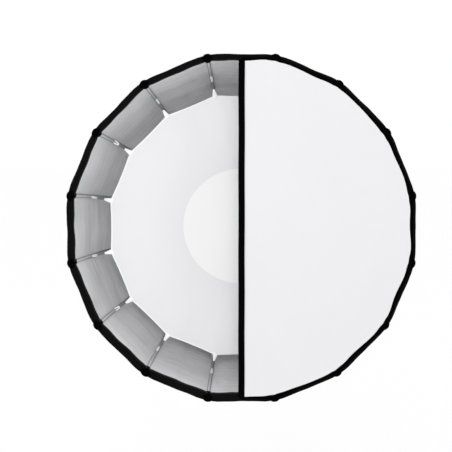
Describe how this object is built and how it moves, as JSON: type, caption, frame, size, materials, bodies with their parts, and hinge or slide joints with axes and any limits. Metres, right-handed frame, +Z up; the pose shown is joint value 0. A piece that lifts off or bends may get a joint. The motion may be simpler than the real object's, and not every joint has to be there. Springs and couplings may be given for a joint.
{
  "type": "umbrella reflector",
  "caption": "Folding parabolic umbrella reflector with a speed ring, sprung ribs, silver-lined shell, inner baffle and a two-leaf front diffuser.",
  "frame": {"origin": "centre of the mount insert's flat face, which rests on the light", "axes": "+Y points from the reflector towards the light, so the open front faces -Y; +Z is up and +X is right as seen from the front; the diffuser's centre fold lies along Z at X = 0"},
  "size_m": [0.8844, 0.4368, 0.8844],
  "materials": {
    "shell_cloth": "matt black polyester outside, crinkled silver coating inside",
    "diffuser_cloth": "matt white nylon",
    "strap": "woven grey and white elastic",
    "tape": "black webbing",
    "ring": "cast, painted satin black",
    "insert": "satin",
    "rod": "drawn, bright",
    "pin": "ground",
    "button": "red",
    "knob": "black, scalloped"
  },
  "bodies": {
    "mount": {"mount_insert": "insert", "insert_retainer": "insert"},
    "speed_ring": {"speed_ring": "ring", "hinge_pins": "pin", "inner_baffle": "diffuser_cloth", "baffle_straps": "strap"},
    "button_right": {"release_button_right": "button"},
    "button_left": {"release_button_left": "button"},
    "knob": {"swivel_knob": "knob"},
    "diffuser": {"diffuser_right_leaf": "diffuser_cloth"},
    "diffuser_flap": {"diffuser_left_leaf": "diffuser_cloth", "diffuser_centre_tape": "tape"},
    "rib_01": {"rib_01": "rod"},
    "pleat_01_a": {"panel_01_a": "shell_cloth"},
    "pleat_01_b": {"panel_01_b": "shell_cloth"},
    "rib_02": {"rib_02": "rod"},
    "pleat_02_a": {"panel_02_a": "shell_cloth"},
    "pleat_02_b": {"panel_02_b": "shell_cloth"},
    "rib_03": {"rib_03": "rod"},
    "pleat_03_a": {"panel_03_a": "shell_cloth"},
    "pleat_03_b": {"panel_03_b": "shell_cloth"},
    "rib_04": {"rib_04": "rod"},
    "pleat_04_a": {"panel_04_a": "shell_cloth"},
    "pleat_04_b": {"panel_04_b": "shell_cloth"},
    "rib_05": {"rib_05": "rod"},
    "pleat_05_a": {"panel_05_a": "shell_cloth"},
    "pleat_05_b": {"panel_05_b": "shell_cloth"},
    "rib_06": {"rib_06": "rod"},
    "pleat_06_a": {"panel_06_a": "shell_cloth"},
    "pleat_06_b": {"panel_06_b": "shell_cloth"},
    "rib_07": {"rib_07": "rod"},
    "pleat_07_a": {"panel_07_a": "shell_cloth"},
    "pleat_07_b": {"panel_07_b": "shell_cloth"},
    "rib_08": {"rib_08": "rod"},
    "pleat_08_a": {"panel_08_a": "shell_cloth"},
    "pleat_08_b": {"panel_08_b": "shell_cloth"},
    "rib_09": {"rib_09": "rod"},
    "pleat_09_a": {"panel_09_a": "shell_cloth"},
    "pleat_09_b": {"panel_09_b": "shell_cloth"},
    "rib_10": {"rib_10": "rod"},
    "pleat_10_a": {"panel_10_a": "shell_cloth"},
    "pleat_10_b": {"panel_10_b": "shell_cloth"},
    "rib_11": {"rib_11": "rod"},
    "pleat_11_a": {"panel_11_a": "shell_cloth"},
    "pleat_11_b": {"panel_11_b": "shell_cloth"},
    "rib_12": {"rib_12": "rod"},
    "pleat_12_a": {"panel_12_a": "shell_cloth"},
    "pleat_12_b": {"panel_12_b": "shell_cloth"},
    "rib_13": {"rib_13": "rod"},
    "pleat_13_a": {"panel_13_a": "shell_cloth"},
    "pleat_13_b": {"panel_13_b": "shell_cloth"},
    "rib_14": {"rib_14": "rod"},
    "pleat_14_a": {"panel_14_a": "shell_cloth"},
    "pleat_14_b": {"panel_14_b": "shell_cloth"},
    "rib_15": {"rib_15": "rod"},
    "pleat_15_a": {"panel_15_a": "shell_cloth"},
    "pleat_15_b": {"panel_15_b": "shell_cloth"},
    "rib_16": {"rib_16": "rod"},
    "pleat_16_a": {"panel_16_a": "shell_cloth"},
    "pleat_16_b": {"panel_16_b": "shell_cloth"}
  },
  "joints": [
    {"name": "ring_swivel", "type": "hinge", "parent": "mount", "child": "speed_ring", "pos_m": [0, -0.018, 0], "axis": [0, -1, 0], "continuous": true},
    {"name": "button_right_press", "type": "slide", "parent": "speed_ring", "child": "button_right", "axis": [-1, 0, 0], "range_m": [0, 0.005], "stiffness_N_per_m": 400, "springref_m": -0.004},
    {"name": "button_left_press", "type": "slide", "parent": "speed_ring", "child": "button_left", "axis": [1, 0, 0], "range_m": [0, 0.005], "stiffness_N_per_m": 400, "springref_m": -0.004},
    {"name": "knob_turn", "type": "hinge", "parent": "speed_ring", "child": "knob", "pos_m": [0, -0.0115, -0.1], "axis": [0, 0, -1], "range_deg": [0, 360]},
    {"name": "diffuser_lift", "type": "slide", "parent": "speed_ring", "child": "diffuser", "axis": [0, -1, 0], "range_m": [0, 0.3]},
    {"name": "diffuser_flap_turn", "type": "hinge", "parent": "diffuser", "child": "diffuser_flap", "pos_m": [0, -0.4235, 0], "axis": [0, 0, -1], "range_deg": [0, 180]},
    {"name": "rib_01_fold", "type": "hinge", "parent": "speed_ring", "child": "rib_01", "pos_m": [0.0765, -0.02, 0.01522], "axis": [0.1951, 0, -0.9808], "range_deg": [0, 42.8], "deforming": ["panel_01_a", "panel_01_b", "panel_02_a", "panel_02_b", "panel_03_a", "panel_03_b", "panel_04_a", "panel_04_b", "panel_05_a", "panel_05_b", "panel_06_a", "panel_06_b", "panel_07_a", "panel_07_b", "panel_08_a", "panel_08_b", "panel_09_a", "panel_09_b", "panel_10_a", "panel_10_b", "panel_11_a", "panel_11_b", "panel_12_a", "panel_12_b", "panel_13_a", "panel_13_b", "panel_14_a", "panel_14_b", "panel_15_a", "panel_15_b", "panel_16_a", "panel_16_b", "inner_baffle", "baffle_straps", "diffuser_right_leaf", "diffuser_left_leaf", "diffuser_centre_tape"]},
    {"name": "pleat_01_a_turn", "type": "hinge", "parent": "rib_01", "child": "pleat_01_a", "pos_m": [0.0765, -0.02, 0.01522], "axis": [0.3104, 0.1905, 0.9313], "range_deg": [0, 12.18]},
    {"name": "pleat_01_b_turn", "type": "hinge", "parent": "rib_01", "child": "pleat_01_b", "pos_m": [0.0765, -0.02, 0.01522], "axis": [-0.6432, -0.1905, 0.7416], "range_deg": [0, 12.18]},
    {"name": "rib_02_fold", "type": "hinge", "parent": "speed_ring", "child": "rib_02", "pos_m": [0.06485, -0.02, 0.04333], "axis": [0.5556, 0, -0.8315], "range_deg": [0, 42.8]},
    {"name": "pleat_02_a_turn", "type": "hinge", "parent": "rib_02", "child": "pleat_02_a", "pos_m": [0.06485, -0.02, 0.04333], "axis": [-0.0696, 0.1905, 0.9792], "range_deg": [0, 12.18]},
    {"name": "pleat_02_b_turn", "type": "hinge", "parent": "rib_02", "child": "pleat_02_b", "pos_m": [0.06485, -0.02, 0.04333], "axis": [-0.878, -0.1905, 0.439], "range_deg": [0, 12.18]},
    {"name": "rib_03_fold", "type": "hinge", "parent": "speed_ring", "child": "rib_03", "pos_m": [0.04333, -0.02, 0.06485], "axis": [0.8315, 0, -0.5556], "range_deg": [0, 42.8]},
    {"name": "pleat_03_a_turn", "type": "hinge", "parent": "rib_03", "child": "pleat_03_a", "pos_m": [0.04333, -0.02, 0.06485], "axis": [-0.439, 0.1905, 0.878], "range_deg": [0, 12.18]},
    {"name": "pleat_03_b_turn", "type": "hinge", "parent": "rib_03", "child": "pleat_03_b", "pos_m": [0.04333, -0.02, 0.06485], "axis": [-0.9792, -0.1905, 0.0696], "range_deg": [0, 12.18]},
    {"name": "rib_04_fold", "type": "hinge", "parent": "speed_ring", "child": "rib_04", "pos_m": [0.01522, -0.02, 0.0765], "axis": [0.9808, 0, -0.1951], "range_deg": [0, 42.8]},
    {"name": "pleat_04_a_turn", "type": "hinge", "parent": "rib_04", "child": "pleat_04_a", "pos_m": [0.01522, -0.02, 0.0765], "axis": [-0.7416, 0.1905, 0.6432], "range_deg": [0, 12.18]},
    {"name": "pleat_04_b_turn", "type": "hinge", "parent": "rib_04", "child": "pleat_04_b", "pos_m": [0.01522, -0.02, 0.0765], "axis": [-0.9313, -0.1905, -0.3104], "range_deg": [0, 12.18]},
    {"name": "rib_05_fold", "type": "hinge", "parent": "speed_ring", "child": "rib_05", "pos_m": [-0.01522, -0.02, 0.0765], "axis": [0.9808, 0, 0.1951], "range_deg": [0, 42.8]},
    {"name": "pleat_05_a_turn", "type": "hinge", "parent": "rib_05", "child": "pleat_05_a", "pos_m": [-0.01522, -0.02, 0.0765], "axis": [-0.9313, 0.1905, 0.3104], "range_deg": [0, 12.18]},
    {"name": "pleat_05_b_turn", "type": "hinge", "parent": "rib_05", "child": "pleat_05_b", "pos_m": [-0.01522, -0.02, 0.0765], "axis": [-0.7416, -0.1905, -0.6432], "range_deg": [0, 12.18]},
    {"name": "rib_06_fold", "type": "hinge", "parent": "speed_ring", "child": "rib_06", "pos_m": [-0.04333, -0.02, 0.06485], "axis": [0.8315, 0, 0.5556], "range_deg": [0, 42.8]},
    {"name": "pleat_06_a_turn", "type": "hinge", "parent": "rib_06", "child": "pleat_06_a", "pos_m": [-0.04333, -0.02, 0.06485], "axis": [-0.9792, 0.1905, -0.0696], "range_deg": [0, 12.18]},
    {"name": "pleat_06_b_turn", "type": "hinge", "parent": "rib_06", "child": "pleat_06_b", "pos_m": [-0.04333, -0.02, 0.06485], "axis": [-0.439, -0.1905, -0.878], "range_deg": [0, 12.18]},
    {"name": "rib_07_fold", "type": "hinge", "parent": "speed_ring", "child": "rib_07", "pos_m": [-0.06485, -0.02, 0.04333], "axis": [0.5556, 0, 0.8315], "range_deg": [0, 42.8]},
    {"name": "pleat_07_a_turn", "type": "hinge", "parent": "rib_07", "child": "pleat_07_a", "pos_m": [-0.06485, -0.02, 0.04333], "axis": [-0.878, 0.1905, -0.439], "range_deg": [0, 12.18]},
    {"name": "pleat_07_b_turn", "type": "hinge", "parent": "rib_07", "child": "pleat_07_b", "pos_m": [-0.06485, -0.02, 0.04333], "axis": [-0.0696, -0.1905, -0.9792], "range_deg": [0, 12.18]},
    {"name": "rib_08_fold", "type": "hinge", "parent": "speed_ring", "child": "rib_08", "pos_m": [-0.0765, -0.02, 0.01522], "axis": [0.1951, 0, 0.9808], "range_deg": [0, 42.8]},
    {"name": "pleat_08_a_turn", "type": "hinge", "parent": "rib_08", "child": "pleat_08_a", "pos_m": [-0.0765, -0.02, 0.01522], "axis": [-0.6432, 0.1905, -0.7416], "range_deg": [0, 12.18]},
    {"name": "pleat_08_b_turn", "type": "hinge", "parent": "rib_08", "child": "pleat_08_b", "pos_m": [-0.0765, -0.02, 0.01522], "axis": [0.3104, -0.1905, -0.9313], "range_deg": [0, 12.18]},
    {"name": "rib_09_fold", "type": "hinge", "parent": "speed_ring", "child": "rib_09", "pos_m": [-0.0765, -0.02, -0.01522], "axis": [-0.1951, 0, 0.9808], "range_deg": [0, 42.8]},
    {"name": "pleat_09_a_turn", "type": "hinge", "parent": "rib_09", "child": "pleat_09_a", "pos_m": [-0.0765, -0.02, -0.01522], "axis": [-0.3104, 0.1905, -0.9313], "range_deg": [0, 12.18]},
    {"name": "pleat_09_b_turn", "type": "hinge", "parent": "rib_09", "child": "pleat_09_b", "pos_m": [-0.0765, -0.02, -0.01522], "axis": [0.6432, -0.1905, -0.7416], "range_deg": [0, 12.18]},
    {"name": "rib_10_fold", "type": "hinge", "parent": "speed_ring", "child": "rib_10", "pos_m": [-0.06485, -0.02, -0.04333], "axis": [-0.5556, 0, 0.8315], "range_deg": [0, 42.8]},
    {"name": "pleat_10_a_turn", "type": "hinge", "parent": "rib_10", "child": "pleat_10_a", "pos_m": [-0.06485, -0.02, -0.04333], "axis": [0.0696, 0.1905, -0.9792], "range_deg": [0, 12.18]},
    {"name": "pleat_10_b_turn", "type": "hinge", "parent": "rib_10", "child": "pleat_10_b", "pos_m": [-0.06485, -0.02, -0.04333], "axis": [0.878, -0.1905, -0.439], "range_deg": [0, 12.18]},
    {"name": "rib_11_fold", "type": "hinge", "parent": "speed_ring", "child": "rib_11", "pos_m": [-0.04333, -0.02, -0.06485], "axis": [-0.8315, 0, 0.5556], "range_deg": [0, 42.8]},
    {"name": "pleat_11_a_turn", "type": "hinge", "parent": "rib_11", "child": "pleat_11_a", "pos_m": [-0.04333, -0.02, -0.06485], "axis": [0.439, 0.1905, -0.878], "range_deg": [0, 12.18]},
    {"name": "pleat_11_b_turn", "type": "hinge", "parent": "rib_11", "child": "pleat_11_b", "pos_m": [-0.04333, -0.02, -0.06485], "axis": [0.9792, -0.1905, -0.0696], "range_deg": [0, 12.18]},
    {"name": "rib_12_fold", "type": "hinge", "parent": "speed_ring", "child": "rib_12", "pos_m": [-0.01522, -0.02, -0.0765], "axis": [-0.9808, 0, 0.1951], "range_deg": [0, 42.8]},
    {"name": "pleat_12_a_turn", "type": "hinge", "parent": "rib_12", "child": "pleat_12_a", "pos_m": [-0.01522, -0.02, -0.0765], "axis": [0.7416, 0.1905, -0.6432], "range_deg": [0, 12.18]},
    {"name": "pleat_12_b_turn", "type": "hinge", "parent": "rib_12", "child": "pleat_12_b", "pos_m": [-0.01522, -0.02, -0.0765], "axis": [0.9313, -0.1905, 0.3104], "range_deg": [0, 12.18]},
    {"name": "rib_13_fold", "type": "hinge", "parent": "speed_ring", "child": "rib_13", "pos_m": [0.01522, -0.02, -0.0765], "axis": [-0.9808, 0, -0.1951], "range_deg": [0, 42.8]},
    {"name": "pleat_13_a_turn", "type": "hinge", "parent": "rib_13", "child": "pleat_13_a", "pos_m": [0.01522, -0.02, -0.0765], "axis": [0.9313, 0.1905, -0.3104], "range_deg": [0, 12.18]},
    {"name": "pleat_13_b_turn", "type": "hinge", "parent": "rib_13", "child": "pleat_13_b", "pos_m": [0.01522, -0.02, -0.0765], "axis": [0.7416, -0.1905, 0.6432], "range_deg": [0, 12.18]},
    {"name": "rib_14_fold", "type": "hinge", "parent": "speed_ring", "child": "rib_14", "pos_m": [0.04333, -0.02, -0.06485], "axis": [-0.8315, 0, -0.5556], "range_deg": [0, 42.8]},
    {"name": "pleat_14_a_turn", "type": "hinge", "parent": "rib_14", "child": "pleat_14_a", "pos_m": [0.04333, -0.02, -0.06485], "axis": [0.9792, 0.1905, 0.0696], "range_deg": [0, 12.18]},
    {"name": "pleat_14_b_turn", "type": "hinge", "parent": "rib_14", "child": "pleat_14_b", "pos_m": [0.04333, -0.02, -0.06485], "axis": [0.439, -0.1905, 0.878], "range_deg": [0, 12.18]},
    {"name": "rib_15_fold", "type": "hinge", "parent": "speed_ring", "child": "rib_15", "pos_m": [0.06485, -0.02, -0.04333], "axis": [-0.5556, 0, -0.8315], "range_deg": [0, 42.8]},
    {"name": "pleat_15_a_turn", "type": "hinge", "parent": "rib_15", "child": "pleat_15_a", "pos_m": [0.06485, -0.02, -0.04333], "axis": [0.878, 0.1905, 0.439], "range_deg": [0, 12.18]},
    {"name": "pleat_15_b_turn", "type": "hinge", "parent": "rib_15", "child": "pleat_15_b", "pos_m": [0.06485, -0.02, -0.04333], "axis": [0.0696, -0.1905, 0.9792], "range_deg": [0, 12.18]},
    {"name": "rib_16_fold", "type": "hinge", "parent": "speed_ring", "child": "rib_16", "pos_m": [0.0765, -0.02, -0.01522], "axis": [-0.1951, 0, -0.9808], "range_deg": [0, 42.8]},
    {"name": "pleat_16_a_turn", "type": "hinge", "parent": "rib_16", "child": "pleat_16_a", "pos_m": [0.0765, -0.02, -0.01522], "axis": [0.6432, 0.1905, 0.7416], "range_deg": [0, 12.18]},
    {"name": "pleat_16_b_turn", "type": "hinge", "parent": "rib_16", "child": "pleat_16_b", "pos_m": [0.0765, -0.02, -0.01522], "axis": [-0.3104, -0.1905, 0.9313], "range_deg": [0, 12.18]}
  ],
  "couplings": [
    {"joint": "pleat_01_a_turn", "follows": "rib_01_fold", "ratio": 0.28464},
    {"joint": "pleat_01_b_turn", "follows": "rib_01_fold", "ratio": 0.28464},
    {"joint": "rib_02_fold", "follows": "rib_01_fold", "ratio": 1},
    {"joint": "pleat_02_a_turn", "follows": "rib_01_fold", "ratio": 0.28464},
    {"joint": "pleat_02_b_turn", "follows": "rib_01_fold", "ratio": 0.28464},
    {"joint": "rib_03_fold", "follows": "rib_01_fold", "ratio": 1},
    {"joint": "pleat_03_a_turn", "follows": "rib_01_fold", "ratio": 0.28464},
    {"joint": "pleat_03_b_turn", "follows": "rib_01_fold", "ratio": 0.28464},
    {"joint": "rib_04_fold", "follows": "rib_01_fold", "ratio": 1},
    {"joint": "pleat_04_a_turn", "follows": "rib_01_fold", "ratio": 0.28464},
    {"joint": "pleat_04_b_turn", "follows": "rib_01_fold", "ratio": 0.28464},
    {"joint": "rib_05_fold", "follows": "rib_01_fold", "ratio": 1},
    {"joint": "pleat_05_a_turn", "follows": "rib_01_fold", "ratio": 0.28464},
    {"joint": "pleat_05_b_turn", "follows": "rib_01_fold", "ratio": 0.28464},
    {"joint": "rib_06_fold", "follows": "rib_01_fold", "ratio": 1},
    {"joint": "pleat_06_a_turn", "follows": "rib_01_fold", "ratio": 0.28464},
    {"joint": "pleat_06_b_turn", "follows": "rib_01_fold", "ratio": 0.28464},
    {"joint": "rib_07_fold", "follows": "rib_01_fold", "ratio": 1},
    {"joint": "pleat_07_a_turn", "follows": "rib_01_fold", "ratio": 0.28464},
    {"joint": "pleat_07_b_turn", "follows": "rib_01_fold", "ratio": 0.28464},
    {"joint": "rib_08_fold", "follows": "rib_01_fold", "ratio": 1},
    {"joint": "pleat_08_a_turn", "follows": "rib_01_fold", "ratio": 0.28464},
    {"joint": "pleat_08_b_turn", "follows": "rib_01_fold", "ratio": 0.28464},
    {"joint": "rib_09_fold", "follows": "rib_01_fold", "ratio": 1},
    {"joint": "pleat_09_a_turn", "follows": "rib_01_fold", "ratio": 0.28464},
    {"joint": "pleat_09_b_turn", "follows": "rib_01_fold", "ratio": 0.28464},
    {"joint": "rib_10_fold", "follows": "rib_01_fold", "ratio": 1},
    {"joint": "pleat_10_a_turn", "follows": "rib_01_fold", "ratio": 0.28464},
    {"joint": "pleat_10_b_turn", "follows": "rib_01_fold", "ratio": 0.28464},
    {"joint": "rib_11_fold", "follows": "rib_01_fold", "ratio": 1},
    {"joint": "pleat_11_a_turn", "follows": "rib_01_fold", "ratio": 0.28464},
    {"joint": "pleat_11_b_turn", "follows": "rib_01_fold", "ratio": 0.28464},
    {"joint": "rib_12_fold", "follows": "rib_01_fold", "ratio": 1},
    {"joint": "pleat_12_a_turn", "follows": "rib_01_fold", "ratio": 0.28464},
    {"joint": "pleat_12_b_turn", "follows": "rib_01_fold", "ratio": 0.28464},
    {"joint": "rib_13_fold", "follows": "rib_01_fold", "ratio": 1},
    {"joint": "pleat_13_a_turn", "follows": "rib_01_fold", "ratio": 0.28464},
    {"joint": "pleat_13_b_turn", "follows": "rib_01_fold", "ratio": 0.28464},
    {"joint": "rib_14_fold", "follows": "rib_01_fold", "ratio": 1},
    {"joint": "pleat_14_a_turn", "follows": "rib_01_fold", "ratio": 0.28464},
    {"joint": "pleat_14_b_turn", "follows": "rib_01_fold", "ratio": 0.28464},
    {"joint": "rib_15_fold", "follows": "rib_01_fold", "ratio": 1},
    {"joint": "pleat_15_a_turn", "follows": "rib_01_fold", "ratio": 0.28464},
    {"joint": "pleat_15_b_turn", "follows": "rib_01_fold", "ratio": 0.28464},
    {"joint": "rib_16_fold", "follows": "rib_01_fold", "ratio": 1},
    {"joint": "pleat_16_a_turn", "follows": "rib_01_fold", "ratio": 0.28464},
    {"joint": "pleat_16_b_turn", "follows": "rib_01_fold", "ratio": 0.28464}
  ]
}
